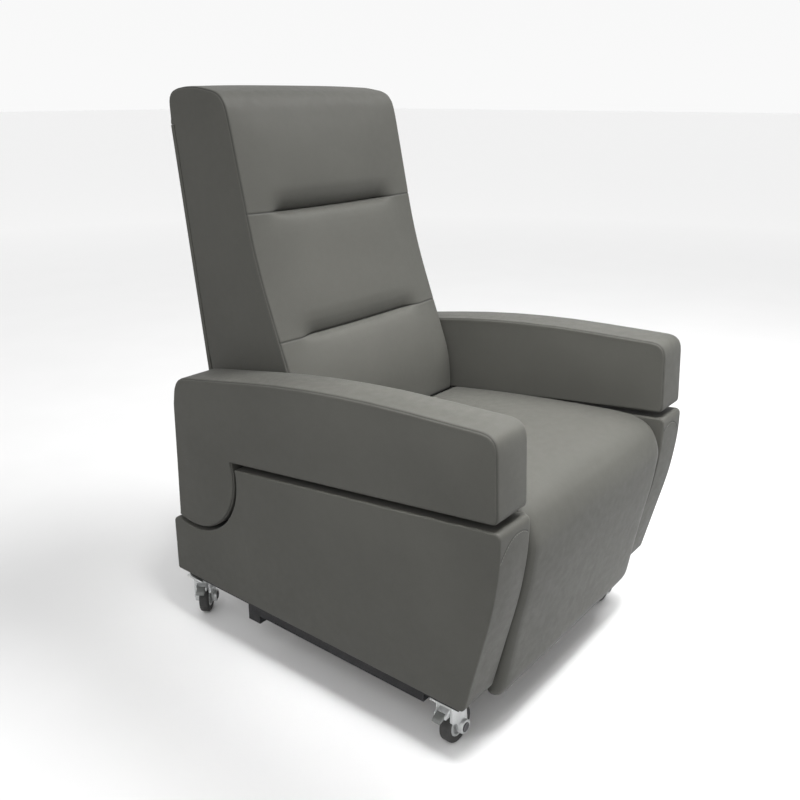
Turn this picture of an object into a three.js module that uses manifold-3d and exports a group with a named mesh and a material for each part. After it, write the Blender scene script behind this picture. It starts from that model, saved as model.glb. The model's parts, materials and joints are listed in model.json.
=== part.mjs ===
// Patient recliner chair: an upholstered chair on four braked casters. The back reclines and the
// legrest swings up, both about pins under the upholstery, and each arm swings up about a round
// lobe at its rear end so that a patient can be moved sideways.
// Millimetres, +Z up. The sitter faces -Y. The origin is on the floor under the chair's middle.

import * as THREE from 'three';
import { mergeVertices } from 'three/addons/utils/BufferGeometryUtils.js';
import Module from 'manifold-3d';

const wasm = await Module();
wasm.setup();

// ---- driving dimensions ---------------------------------------------------------------------

const GAP = 0.3;                      // left between pieces that touch
const RUNNING = 0.3;                  // radial clearance of a pin in its hole

const CHAIR_HALF_WIDTH = 373.5;
const ARM_INNER_X = 278.4;            // arms and side panels stand outside this
const SEAT_HALF_WIDTH = 272;
const BACK_HALF_WIDTH = 264;
const PANEL_INNER_X = 278;

const PANEL_BOTTOM_Z = 130;
const BASE_TOP_Z = 129.7;             // top of the steel base, under the side panels
const CASTER_TOP_Z = 107;             // underside of the base where the casters bolt on
const DECK_BOTTOM_Z = 378.3;
const DECK_TOP_Z = 390;
const SEAT_FRONT_Y = -339.7;          // where the seat cushion hands over to the waterfall pad

const ARM_PIVOT = [327, 402];         // y, z of the arm's swing pin
const ARM_LOBE_RADIUS = 139.5;
const LOBE_RECESS_RADIUS = 146;
const ARM_PIN_RADIUS = 14;
const ARM_PIN_END_X = 325;

const RECLINE_PIVOT = [132, 432];     // y, z of the back's recline pins
const LEGREST_PIVOT = [-398, 440];    // y, z of the legrest's pins
const PIVOT_EYE_RADIUS = 16;
const PIVOT_PIN_RADIUS = 8;

const COVER_THICKNESS = 10;           // rear cover of the back
const COVER_TOP_Z = 1100;
const COVER_BOTTOM_Z = 270;           // hangs behind the seat, inside the rear panel
const BACK_CAVITY_DEPTH = 62;         // from the rear line, holds the steel back frame
const BACK_CAVITY_HALF_WIDTH = 250;

const SPRING_ANCHOR = [-200, 277];    // y, z of the gas spring's fixed eye
const SPRING_LEVER_RADIUS = 36;       // lever arm from the recline pins to the moving eye
const SPRING_LEVER_ANGLE = 40;        // degrees behind straight down
const SPRING_PIN_RADIUS = 5;
const SPRING_EYE_CLEARANCE = 3.2;     // the moving eye rides loosely on its pin
const SPRING_EYE_HALF_WIDTH = 6;
const CYLINDER_RADIUS = 11;
const CYLINDER_LENGTH = 230;
const ROD_RADIUS = 5;

const WHEEL_RADIUS = 37.5;
const WHEEL_HALF_WIDTH = 11;
const HUB_RADIUS = 24;
const WHEEL_FACETS = 20;
const CASTER_TRAIL = 22;
const AXLE_RADIUS = 5;
const PEDAL_PIVOT = [-24, 81];        // along the fork, height
const PEDAL_PIN_RADIUS = 2.5;

const SOFT_EDGE = 6;                  // rounding of an upholstered edge

// ---- materials ------------------------------------------------------------------------------

const paint = (color, roughness, metalness) => () =>
  new THREE.MeshStandardMaterial({ color, roughness, metalness });

const vinyl = paint(0x5c5c57, 0.6, 0);
const darkSteel = paint(0x1b1b1c, 0.5, 0.6);
const zincSteel = paint(0x9b9fa1, 0.4, 0.8);
const brightSteel = paint(0xc4c6c8, 0.2, 1);
const silverPaint = paint(0xa9adad, 0.45, 0.5);
const plywood = paint(0xb08a5a, 0.75, 0);
const tyreRubber = paint(0x232324, 0.85, 0);
const hubPlastic = paint(0x8e9292, 0.5, 0);
const pedalPlastic = paint(0x9ea2a2, 0.5, 0);

// ---- shapes and solids ----------------------------------------------------------------------

// A closed outline through [u, v, soften] corners. A corner is rounded over `soften` on each side.
function outline(corners) {
  const shape = new THREE.Shape();
  const count = corners.length;
  const toward = (from, to, distance) => {
    const a = new THREE.Vector2(from[0], from[1]);
    const b = new THREE.Vector2(to[0], to[1]);
    return a.add(b.sub(a).setLength(distance));
  };
  corners.forEach((corner, i) => {
    const soften = corner[2] ?? 0;
    const before = corners[(i + count - 1) % count];
    const after = corners[(i + 1) % count];
    const start = toward(corner, before, soften);
    if (i === 0) shape.moveTo(start.x, start.y);
    else shape.lineTo(start.x, start.y);
    if (soften > 0) {
      const end = toward(corner, after, soften);
      shape.quadraticCurveTo(corner[0], corner[1], end.x, end.y);
    }
  });
  shape.closePath();
  return shape;
}

// Points of an arc about [u, v], angles in degrees.
function arc([u, v], radius, from, to, steps) {
  return Array.from({ length: steps + 1 }, (_, i) => {
    const angle = THREE.MathUtils.degToRad(from + ((to - from) * i) / steps);
    return [u + radius * Math.cos(angle), v + radius * Math.sin(angle)];
  });
}

const disc = (centre, radius, steps = 16) => outline(arc(centre, radius, 0, 360 - 360 / steps, steps - 1));

// A side view outline (y, z) extruded across the chair from x = from to x = to.
const ACROSS = new THREE.Matrix4().makeBasis(
  new THREE.Vector3(0, 1, 0), new THREE.Vector3(0, 0, 1), new THREE.Vector3(1, 0, 0));

function across(shape, from, to, softEdge = 0) {
  const geometry = new THREE.ExtrudeGeometry(shape, {
    depth: to - from - 2 * softEdge,
    curveSegments: 5,
    bevelEnabled: softEdge > 0,
    bevelThickness: softEdge,
    bevelSize: softEdge,
    bevelOffset: -softEdge,
    bevelSegments: 1,
  });
  return geometry.translate(0, 0, from + softEdge).applyMatrix4(ACROSS);
}

function block([x0, x1], [y0, y1], [z0, z1]) {
  return new THREE.BoxGeometry(x1 - x0, y1 - y0, z1 - z0)
    .translate((x0 + x1) / 2, (y0 + y1) / 2, (z0 + z1) / 2);
}

function toSolid(geometry) {
  const bare = geometry.clone();
  bare.deleteAttribute('normal');
  bare.deleteAttribute('uv');
  const merged = mergeVertices(bare, 1e-4);
  return new wasm.Manifold(new wasm.Mesh({
    numProp: 3,
    vertProperties: new Float32Array(merged.attributes.position.array),
    triVerts: new Uint32Array(merged.index.array),
  }));
}

function toGeometry(solid) {
  const mesh = solid.getMesh();
  const geometry = new THREE.BufferGeometry();
  geometry.setAttribute('position', new THREE.BufferAttribute(mesh.vertProperties, 3));
  geometry.setIndex(new THREE.BufferAttribute(mesh.triVerts, 1));
  geometry.computeVertexNormals();
  return geometry;
}

const joined = (first, ...others) =>
  toGeometry(others.reduce((solid, other) => solid.add(toSolid(other)), toSolid(first)));

const cutFrom = (first, ...others) =>
  toGeometry(others.reduce((solid, other) => solid.subtract(toSolid(other)), toSolid(first)));

const chair = new THREE.Group();

function piece(name, geometry, material, parent = chair) {
  const mesh = new THREE.Mesh(geometry, material());
  mesh.name = name;
  parent.add(mesh);
  return mesh;
}

// The two sides of the chair. `spread` turns distances from the middle into an x range.
const SIDES = [
  { name: 'left', spread: (inner, outer) => [inner, outer] },
  { name: 'right', spread: (inner, outer) => [-outer, -inner] },
];

// ---- steel base ------------------------------------------------------------------------------

const RAIL_X = [300, 350];

function baseRailOutline() {
  return outline([
    [-363, CASTER_TOP_Z], [-285, CASTER_TOP_Z], [-285, 90], [155, 90], [155, 71], [190, 71],
    [190, CASTER_TOP_Z], [387, CASTER_TOP_Z], [387, BASE_TOP_Z], [-363, BASE_TOP_Z],
  ]);
}

for (const side of SIDES) {
  piece(`base_rail_${side.name}`, across(baseRailOutline(), ...side.spread(...RAIL_X)), darkSteel);
}

const BETWEEN_RAILS = [-(RAIL_X[0] - GAP), RAIL_X[0] - GAP];
piece('base_cross_front', block(BETWEEN_RAILS, [-323, -283], [CASTER_TOP_Z, BASE_TOP_Z]), darkSteel);
piece('base_cross_rear', block(BETWEEN_RAILS, [337, 372], [CASTER_TOP_Z, BASE_TOP_Z]), darkSteel);

// ---- side panels, with the round recess that the arm's lobe turns in -------------------------

function sidePanelOutline() {
  return outline([
    [-388, PANEL_BOTTOM_Z, 10], [398, PANEL_BOTTOM_Z, 5], [398, 256, 6],
    ...arc(ARM_PIVOT, LOBE_RECESS_RADIUS, -68, -192, 16),
    [-450, 499, 14], [-450, 440, 30], [-440, 350, 50],
  ]);
}

for (const side of SIDES) {
  const panel = across(sidePanelOutline(), ...side.spread(PANEL_INNER_X, CHAIR_HALF_WIDTH), SOFT_EDGE / 3);
  piece(`side_panel_${side.name}`, panel, vinyl);
}

const BETWEEN_PANELS = [-(PANEL_INNER_X - GAP), PANEL_INNER_X - GAP];
piece('rear_panel', block(BETWEEN_PANELS, [375, 389], [PANEL_BOTTOM_Z, 290]), vinyl);

// ---- seat frame, deck and cushion ------------------------------------------------------------

const SEAT_RAIL_X = [245, PANEL_INNER_X - GAP];
const SEAT_RAIL_Z = [338, DECK_BOTTOM_Z - GAP];
const CROSS_Z = [308, 338 - GAP];

for (const side of SIDES) {
  const rail = block(side.spread(...SEAT_RAIL_X), [-340, 140], SEAT_RAIL_Z);
  piece(`seat_rail_${side.name}`, rail, darkSteel);
}

const BETWEEN_SEAT_RAILS = [-(SEAT_RAIL_X[0] - GAP), SEAT_RAIL_X[0] - GAP];
piece('seat_cross_front', block(BETWEEN_SEAT_RAILS, [-340, -310], SEAT_RAIL_Z), darkSteel);
piece('seat_cross_rear', block(BETWEEN_PANELS, [60, 90], CROSS_Z), darkSteel);

// The middle cross carries the lug and pin of the gas spring's fixed eye.
const SPRING_LUG_X = [-16, -8];
const springPinX = [SPRING_LUG_X[1] - 1, SPRING_EYE_HALF_WIDTH + 2];

function springLug() {
  return across(outline([
    [SPRING_ANCHOR[0] - 16, CROSS_Z[0] + 1],
    ...arc(SPRING_ANCHOR, 12, 180, 360, 8),
    [SPRING_ANCHOR[0] + 16, CROSS_Z[0] + 1],
  ]), ...SPRING_LUG_X);
}

piece('seat_cross_middle', joined(
  block(BETWEEN_PANELS, [-220, -180], CROSS_Z),
  springLug(),
  across(disc(SPRING_ANCHOR, SPRING_PIN_RADIUS), ...springPinX),
), darkSteel);

piece('seat_deck', block([-270, 270], [SEAT_FRONT_Y, 60], [DECK_BOTTOM_Z, DECK_TOP_Z]), plywood);

function seatCushionOutline() {
  return outline([
    [SEAT_FRONT_Y, DECK_TOP_Z + GAP], [84, DECK_TOP_Z + GAP, 8], [88, 468, 10],
    [-139, 492, 120], [SEAT_FRONT_Y, 503],
  ]);
}

piece('seat_cushion', across(seatCushionOutline(), -SEAT_HALF_WIDTH, SEAT_HALF_WIDTH), vinyl);

// The pad over the seat's front edge bends as the legrest rises.
function waterfallOutline() {
  const front = SEAT_FRONT_Y - GAP;
  return outline([
    [front, 460], [front, 503], [-388, 504, 22], [-432, 488, 22], [-454, 440, 18], [-454, 416],
    [-418, 416], [-418, 446, 12], [-402, 460, 8],
  ]);
}

piece('waterfall_pad', across(waterfallOutline(), -SEAT_HALF_WIDTH, SEAT_HALF_WIDTH), vinyl);

// ---- pivot brackets fixed to the seat frame --------------------------------------------------

const RECLINE_BRACKET_X = [250, 256];
const BACK_HINGE_X = [242, 248];
const LEGREST_BRACKET_X = [226, 232];
const LEGREST_HINGE_X = [234, 240];

function reclineBracketOutline() {
  return outline([
    [106, DECK_BOTTOM_Z], [139, DECK_BOTTOM_Z],
    ...arc(RECLINE_PIVOT, PIVOT_EYE_RADIUS, -10, 190, 12),
  ]);
}

function legrestBracketOutline() {
  const [y, z] = LEGREST_PIVOT;
  const back = -340 - GAP;
  return outline([
    [-357, SEAT_RAIL_Z[0]], [back, SEAT_RAIL_Z[0]], [back, z + PIVOT_EYE_RADIUS],
    ...arc([y, z], PIVOT_EYE_RADIUS, 90, 270, 12),
    [-382, z - PIVOT_EYE_RADIUS], [-364, 402],
  ]);
}

for (const side of SIDES) {
  const reclineStud = side.spread(BACK_HINGE_X[0] - 2, RECLINE_BRACKET_X[0] + 1);
  piece(`recline_bracket_${side.name}`, joined(
    across(reclineBracketOutline(), ...side.spread(...RECLINE_BRACKET_X)),
    across(disc(RECLINE_PIVOT, PIVOT_PIN_RADIUS), ...reclineStud),
  ), zincSteel);

  const legrestStud = side.spread(LEGREST_BRACKET_X[1] - 1, LEGREST_HINGE_X[1] + 2);
  piece(`legrest_bracket_${side.name}`, joined(
    across(legrestBracketOutline(), ...side.spread(...LEGREST_BRACKET_X)),
    across(disc(LEGREST_PIVOT, PIVOT_PIN_RADIUS), ...legrestStud),
  ), zincSteel);
}

// ---- arm brackets and arms -------------------------------------------------------------------

const ARM_BRACKET_X = [PANEL_INNER_X - GAP - 6, PANEL_INNER_X - GAP];

function armBracketOutline() {
  return outline([
    [200, 150, 10], [365, 150, 10], ...arc(ARM_PIVOT, 38, 0, 180, 12), [200, 250, 20],
  ]);
}

function armOutline() {
  return outline([
    [-444, 509, 14],
    ...arc(ARM_PIVOT, ARM_LOBE_RADIUS, 163, 291, 20),
    [370, 533], [360, 594, 34], [-60, 660, 200], [-437, 663, 32],
  ]);
}

for (const side of SIDES) {
  piece(`arm_bracket_${side.name}`, joined(
    across(armBracketOutline(), ...side.spread(...ARM_BRACKET_X)),
    across(disc(ARM_PIVOT, ARM_PIN_RADIUS), ...side.spread(ARM_BRACKET_X[0] + 1, ARM_PIN_END_X)),
  ), zincSteel);

  const bore = side.spread(ARM_INNER_X - 5, ARM_PIN_END_X + 1);
  piece(`arm_${side.name}`, cutFrom(
    across(armOutline(), ...side.spread(ARM_INNER_X, CHAIR_HALF_WIDTH), SOFT_EDGE),
    across(disc(ARM_PIVOT, ARM_PIN_RADIUS + RUNNING), ...bore),
  ), vinyl);
}

// ---- back ------------------------------------------------------------------------------------

// The straight rear line of the back, leaning rearward, and a strip measured inward from it.
const rearLine = (z) => 379 + 0.132 * (z - 583);

function rearStrip(depthOut, depthIn, bottom, top) {
  return [
    [rearLine(bottom) - depthIn, bottom], [rearLine(bottom) - depthOut, bottom],
    [rearLine(top) - depthOut, top], [rearLine(top) - depthIn, top],
  ];
}

const BACK_BOTTOM_Z = 455;

function backOutline() {
  const behind = COVER_THICKNESS + GAP;
  const step = COVER_TOP_Z + GAP;
  return outline([
    [92, BACK_BOTTOM_Z, 8], [rearLine(BACK_BOTTOM_Z) - behind, BACK_BOTTOM_Z],
    [rearLine(step) - behind, step], [rearLine(step), step],
    [rearLine(1167), 1167, 30], [384, 1180, 38], [283, 1164, 34], [268, 1110, 20],
    [206, 830, 90], [98, 548, 40],
  ]);
}

function backCavity() {
  const strip = rearStrip(-5, BACK_CAVITY_DEPTH, BACK_BOTTOM_Z - 5, COVER_TOP_Z - 10);
  return across(outline(strip), -BACK_CAVITY_HALF_WIDTH, BACK_CAVITY_HALF_WIDTH);
}

piece('back_cushion', cutFrom(
  across(backOutline(), -BACK_HALF_WIDTH, BACK_HALF_WIDTH),
  backCavity(),
), vinyl);

piece('back_rear_cover', across(
  outline(rearStrip(0, COVER_THICKNESS, COVER_BOTTOM_Z, COVER_TOP_Z)), -BACK_HALF_WIDTH, BACK_HALF_WIDTH,
), vinyl);

const UPRIGHT_X = [208, 240];
const FRAME_DEPTH = [14, 44];

function backHingeOutline() {
  const [, , top, shoulder] = rearStrip(...FRAME_DEPTH, 448, 640);
  const [, heel] = rearStrip(...FRAME_DEPTH, 416, 640);
  const [inner] = rearStrip(...FRAME_DEPTH, 448, 640);
  return outline([
    heel, top, shoulder, inner, ...arc(RECLINE_PIVOT, PIVOT_EYE_RADIUS, 90, 270, 12),
  ]);
}

for (const side of SIDES) {
  piece(`back_upright_${side.name}`, across(
    outline(rearStrip(...FRAME_DEPTH, 458, 1060)), ...side.spread(...UPRIGHT_X),
  ), darkSteel);

  const hole = side.spread(BACK_HINGE_X[0] - 5, BACK_HINGE_X[1] + 5);
  piece(`back_hinge_plate_${side.name}`, cutFrom(
    across(backHingeOutline(), ...side.spread(...BACK_HINGE_X)),
    across(disc(RECLINE_PIVOT, PIVOT_PIN_RADIUS + RUNNING), ...hole),
  ), zincSteel);
}

const BETWEEN_UPRIGHTS = [-(UPRIGHT_X[0] - GAP), UPRIGHT_X[0] - GAP];
const BACK_CROSSES = { lower: [480, 520], upper: [1010, 1040] };
for (const [name, heights] of Object.entries(BACK_CROSSES)) {
  const bar = across(outline(rearStrip(...FRAME_DEPTH, ...heights)), ...BETWEEN_UPRIGHTS);
  piece(`back_cross_${name}`, bar, darkSteel);
}

// ---- recline gas spring and the lever it pushes ----------------------------------------------

const leverAngle = THREE.MathUtils.degToRad(SPRING_LEVER_ANGLE);
const LEVER_EYE = [
  RECLINE_PIVOT[0] + SPRING_LEVER_RADIUS * Math.sin(leverAngle),
  RECLINE_PIVOT[1] - SPRING_LEVER_RADIUS * Math.cos(leverAngle),
];

function leverOutline() {
  const depths = [FRAME_DEPTH[1] + GAP, FRAME_DEPTH[1] + 16];
  const [, heel, top, shoulder] = rearStrip(...depths, 416, 560);
  const [inner] = rearStrip(...depths, 446, 560);
  return outline([
    [LEVER_EYE[0] + 60, 416], heel, top, shoulder, inner, [LEVER_EYE[0] - 4, 446],
    ...arc(LEVER_EYE, 12, 170, 330, 8),
  ]);
}

piece('back_lever', joined(
  across(leverOutline(), ...SPRING_LUG_X),
  across(disc(LEVER_EYE, SPRING_PIN_RADIUS), ...springPinX),
), zincSteel);

// The spring lies along +Y of its own group, turned up to point at the lever's eye.
const springVector = new THREE.Vector2(LEVER_EYE[0] - SPRING_ANCHOR[0], LEVER_EYE[1] - SPRING_ANCHOR[1]);
const springLength = springVector.length();
const gasSpring = new THREE.Group();
gasSpring.position.set(0, SPRING_ANCHOR[0], SPRING_ANCHOR[1]);
gasSpring.rotation.x = springVector.angle();
chair.add(gasSpring);

function alongSpring(radius, from, to) {
  return new THREE.CylinderGeometry(radius, radius, to - from, 16).translate(0, (from + to) / 2, 0);
}

const EYE_X = [-SPRING_EYE_HALF_WIDTH, SPRING_EYE_HALF_WIDTH];
piece('gas_spring_cylinder', cutFrom(
  joined(
    across(disc([0, 0], 12), ...EYE_X),
    alongSpring(ROD_RADIUS, 8, 34),
    alongSpring(CYLINDER_RADIUS, 32, CYLINDER_LENGTH),
  ),
  across(disc([0, 0], SPRING_PIN_RADIUS + RUNNING), -20, 20),
  alongSpring(ROD_RADIUS + RUNNING, 60, CYLINDER_LENGTH + 5),
), darkSteel, gasSpring);

piece('gas_spring_rod', cutFrom(
  joined(across(disc([springLength, 0], 13), ...EYE_X), alongSpring(ROD_RADIUS, 120, springLength - 10)),
  across(disc([springLength, 0], SPRING_PIN_RADIUS + SPRING_EYE_CLEARANCE), -20, 20),
), brightSteel, gasSpring);

// ---- legrest ---------------------------------------------------------------------------------

function legrestPadOutline() {
  return outline([
    [-452, 415], [-447, 360, 35], [-426, 255, 40], [-400, 92, 16], [-358, 92, 6],
    [-399, 376, 30], [-399, 415],
  ]);
}

function legrestBoardOutline() {
  return outline([
    [-398.7, 415], [-398.7, 376, 30], [-361, 140], [-351, 140], [-388.5, 376, 30], [-388.5, 415],
  ]);
}

piece('legrest_pad', across(legrestPadOutline(), -SEAT_HALF_WIDTH, SEAT_HALF_WIDTH, SOFT_EDGE / 3), vinyl);
piece('legrest_board', across(legrestBoardOutline(), -260, 260), plywood);

function legrestHingeOutline() {
  return outline([
    [-387, 418], [-386, 372], [-370, 270], [-351, 270], [-366, 376, 20], [-376, 446, 12],
    ...arc(LEGREST_PIVOT, PIVOT_EYE_RADIUS, 70, 300, 14),
  ]);
}

for (const side of SIDES) {
  const hole = side.spread(LEGREST_HINGE_X[0] - 5, LEGREST_HINGE_X[1] + 5);
  piece(`legrest_hinge_plate_${side.name}`, cutFrom(
    across(legrestHingeOutline(), ...side.spread(...LEGREST_HINGE_X)),
    across(disc(LEGREST_PIVOT, PIVOT_PIN_RADIUS + RUNNING), ...hole),
  ), zincSteel);
}

// ---- casters ---------------------------------------------------------------------------------

// A caster stands in its own group at its swivel axis, with the wheel trailing along +X.

// An (x, z) outline extruded along y.
const SIDEWAYS = new THREE.Matrix4().makeBasis(
  new THREE.Vector3(1, 0, 0), new THREE.Vector3(0, 0, 1), new THREE.Vector3(0, -1, 0));

function sideways(shape, from, to) {
  return new THREE.ExtrudeGeometry(shape, { depth: to - from, curveSegments: 6, bevelEnabled: false })
    .translate(0, 0, -to).applyMatrix4(SIDEWAYS);
}

function upright(radius, from, to) {
  return new THREE.CylinderGeometry(radius, radius, to - from, 16)
    .rotateX(Math.PI / 2)
    .translate(0, 0, (from + to) / 2);
}

const AXLE = [CASTER_TRAIL, WHEEL_RADIUS];
const LEG_Y = [13.5, 18.5];
const CROWN_Z = [78, 98];
const KINGPIN_RADIUS = 6;
const BOSS_RADIUS = 14;

function casterMount() {
  return joined(
    block([-25, 25], [-25, 25], [CASTER_TOP_Z - GAP - 4, CASTER_TOP_Z - GAP]),
    upright(17, CROWN_Z[1] + GAP, CASTER_TOP_Z - 3),
    upright(KINGPIN_RADIUS, CROWN_Z[0] + 1, CROWN_Z[1] + 2),
  );
}

function casterFork() {
  const leg = outline([
    [-14, CROWN_Z[1]], [-14, 62, 5], [4, 54, 8],
    ...arc(AXLE, BOSS_RADIUS + 1, 185, 375, 7),
    [33, 68, 10], [28, CROWN_Z[1]],
  ]);
  const ear = outline([[-13, 76], [-13, 92], ...arc(PEDAL_PIVOT, 5, 90, 270, 5)]);
  const crown = block([-14, 28], [-LEG_Y[1], LEG_Y[1]], CROWN_Z);
  const fork = joined(
    crown,
    sideways(leg, LEG_Y[0], LEG_Y[1]),
    sideways(leg, -LEG_Y[1], -LEG_Y[0]),
    sideways(ear, 9.5, 12.5),
    sideways(ear, -12.5, -9.5),
    sideways(disc(PEDAL_PIVOT, PEDAL_PIN_RADIUS), -10, 10),
    sideways(disc(AXLE, AXLE_RADIUS), -LEG_Y[0] - 1, LEG_Y[0] + 1),
    sideways(disc(AXLE, BOSS_RADIUS), LEG_Y[1] - 1, LEG_Y[1] + 6),
    sideways(disc(AXLE, BOSS_RADIUS), -LEG_Y[1] - 6, -LEG_Y[1] + 1),
  );
  return cutFrom(fork, upright(KINGPIN_RADIUS + RUNNING, CROWN_Z[0] - 1, CROWN_Z[1] + 1));
}

// A ring about the wheel's axle, from [distance along the axle, radius] corners. It is turned so
// that a flat facet, not a corner, stands on the floor.
function wheelRing(corners) {
  const facet = Math.PI / WHEEL_FACETS;
  const scale = 1 / Math.cos(facet);
  const profile = [...corners, corners[0]].map(([along, radius]) => new THREE.Vector2(radius * scale, along));
  return new THREE.LatheGeometry(profile, WHEEL_FACETS)
    .rotateY(facet)
    .translate(AXLE[0], 0, AXLE[1]);
}

function tyre() {
  const w = WHEEL_HALF_WIDTH;
  const bead = HUB_RADIUS + GAP;
  return wheelRing([[-w, bead], [-w, WHEEL_RADIUS - 4], [-w + 4, WHEEL_RADIUS], [w - 4, WHEEL_RADIUS],
    [w, WHEEL_RADIUS - 4], [w, bead]]);
}

function hub() {
  const w = WHEEL_HALF_WIDTH;
  const bore = AXLE_RADIUS + RUNNING;
  return wheelRing([[-w, bore], [-w, 11], [-w + 3, HUB_RADIUS], [w - 3, HUB_RADIUS], [w, 11], [w, bore]]);
}

function pedal() {
  const [x, z] = PEDAL_PIVOT;
  const paddle = outline([
    ...arc(PEDAL_PIVOT, 5, -60, 120, 5), [x - 14, z - 1, 3], [x - 17, z - 8, 2], [x - 6, z - 6],
  ]);
  return cutFrom(
    sideways(paddle, -9, 9),
    sideways(disc(PEDAL_PIVOT, PEDAL_PIN_RADIUS + RUNNING), -12, 12),
  );
}

// Where each caster's swivel axis stands and where its wheel trails, in degrees from +X.
const CASTERS = [
  { name: 'front_left', x: 325, y: -324, heading: 180 },
  { name: 'front_right', x: -325, y: -324, heading: 0 },
  { name: 'rear_left', x: 330, y: 366, heading: 142 },
  { name: 'rear_right', x: -330, y: 366, heading: 38 },
];

for (const { name, x, y, heading } of CASTERS) {
  const mount = piece(`caster_mount_${name}`, casterMount(), zincSteel);
  mount.position.set(x, y, 0);
  const swivel = new THREE.Group();
  swivel.position.set(x, y, 0);
  swivel.rotation.z = THREE.MathUtils.degToRad(heading);
  chair.add(swivel);
  piece(`caster_fork_${name}`, casterFork(), silverPaint, swivel);
  piece(`caster_tyre_${name}`, tyre(), tyreRubber, swivel);
  piece(`caster_hub_${name}`, hub(), hubPlastic, swivel);
  piece(`caster_pedal_${name}`, pedal(), pedalPlastic, swivel);
}

export default chair;
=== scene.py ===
"""Looks of the patient recliner chair: stitched upholstery over foam, steel base and casters.

Metres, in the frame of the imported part: +Z up, the sitter faces -Y, the origin is on the floor.
"""
import json
import math

import bmesh
import bpy
import numpy as np
from mathutils import Matrix, Vector
from mathutils.geometry import delaunay_2d_cdt
from mathutils.bvhtree import BVHTree
from mathutils.kdtree import KDTree


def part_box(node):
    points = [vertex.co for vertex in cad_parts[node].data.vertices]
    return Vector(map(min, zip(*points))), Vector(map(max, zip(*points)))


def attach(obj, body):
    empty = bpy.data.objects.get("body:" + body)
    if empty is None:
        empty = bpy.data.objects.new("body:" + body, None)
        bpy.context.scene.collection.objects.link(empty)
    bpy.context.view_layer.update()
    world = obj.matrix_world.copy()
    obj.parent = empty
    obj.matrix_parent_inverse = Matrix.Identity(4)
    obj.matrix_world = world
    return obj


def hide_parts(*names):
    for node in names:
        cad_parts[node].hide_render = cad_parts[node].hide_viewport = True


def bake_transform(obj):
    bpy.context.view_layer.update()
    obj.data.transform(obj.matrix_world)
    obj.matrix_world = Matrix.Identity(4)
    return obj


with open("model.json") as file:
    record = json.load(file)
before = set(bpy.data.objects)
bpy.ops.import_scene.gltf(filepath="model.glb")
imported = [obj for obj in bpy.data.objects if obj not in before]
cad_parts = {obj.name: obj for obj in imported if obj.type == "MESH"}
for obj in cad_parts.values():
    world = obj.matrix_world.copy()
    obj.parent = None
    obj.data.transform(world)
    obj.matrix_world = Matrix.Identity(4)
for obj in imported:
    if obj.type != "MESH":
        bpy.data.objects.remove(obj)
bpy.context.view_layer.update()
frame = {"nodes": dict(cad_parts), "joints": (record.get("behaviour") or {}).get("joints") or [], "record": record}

NODES = frame["nodes"]
JOINTS = {joint["name"]: joint for joint in frame["joints"]}
SUBPARTS = {part["node"]: part["material_slot"] for part in frame["record"]["subparts"]}
BODY_OF = {
    node: body
    for body, nodes in frame["record"]["behaviour"]["bodies"].items()
    for node in nodes
}
MM = 0.001
SIDES = ("left", "right")
CASTERS = ("front_left", "front_right", "rear_left", "rear_right")
scene = bpy.context.scene

# ---- camera, floor and light -------------------------------------------------------------------

CAMERA_PLACE = (-1.424, -1.083, 1.1595)
CAMERA_AZIMUTH = 51.39          # degrees from +Y towards +X
CAMERA_PITCH = -17.36
LENS_MM = 38.93                 # on the default 36 mm sensor
LENS_SHIFT = (0.0023, -0.0437)


def add_camera():
    data = bpy.data.cameras.new("camera")
    data.lens = LENS_MM
    data.shift_x, data.shift_y = LENS_SHIFT
    camera = bpy.data.objects.new("camera", data)
    scene.collection.objects.link(camera)
    camera.location = CAMERA_PLACE
    tilt = math.radians(90 + CAMERA_PITCH)
    camera.rotation_euler = (tilt, 0, -math.radians(CAMERA_AZIMUTH))
    scene.camera = camera


def add_area_light(name, place, target, size, power, spread=180):
    data = bpy.data.lights.new(name, "AREA")
    data.shape = "DISK"
    data.size = size
    data.energy = power
    data.spread = math.radians(spread)
    light = bpy.data.objects.new(name, data)
    scene.collection.objects.link(light)
    light.location = place
    light.rotation_euler = (Vector(target) - Vector(place)).to_track_quat("-Z", "Y").to_euler()


WORLD_HORIZON, WORLD_ZENITH = 0.95, 0.85        # brightness of the studio round and above the chair
KEY_PLACE, KEY_SIZE, KEY_POWER = (1.0, -0.8, 2.8), 1.4, 88
SIDE_PLACE, SIDE_SIZE, SIDE_POWER = (-2.6, -0.6, 2.6), 1.8, 24
SEAT_PLACE, SEAT_SIZE, SEAT_POWER, SEAT_SPREAD = (-0.45, -0.6, 2.0), 0.6, 6, 50


def add_studio():
    world = bpy.data.worlds.new("studio")
    world.use_nodes = True
    tree = world.node_tree
    direction = tree.nodes.new("ShaderNodeTexCoord").outputs["Generated"]
    split = tree.nodes.new("ShaderNodeSeparateXYZ")
    fade = tree.nodes.new("ShaderNodeMapRange")
    fade.inputs["To Min"].default_value = WORLD_HORIZON
    fade.inputs["To Max"].default_value = WORLD_ZENITH
    background = tree.nodes["Background"]
    background.inputs["Color"].default_value = (1, 1, 1, 1)
    tree.links.new(direction, split.inputs[0])
    tree.links.new(split.outputs["Z"], fade.inputs["Value"])
    tree.links.new(fade.outputs["Result"], background.inputs["Strength"])
    scene.world = world
    middle = (0, 0, 0.5)
    add_area_light("key", KEY_PLACE, middle, KEY_SIZE, KEY_POWER)
    add_area_light("side", SIDE_PLACE, middle, SIDE_SIZE, SIDE_POWER)
    add_area_light("seat", SEAT_PLACE, (0.05, -0.2, 0.45), SEAT_SIZE, SEAT_POWER, SEAT_SPREAD)
    scene.view_settings.view_transform = "Standard"


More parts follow.
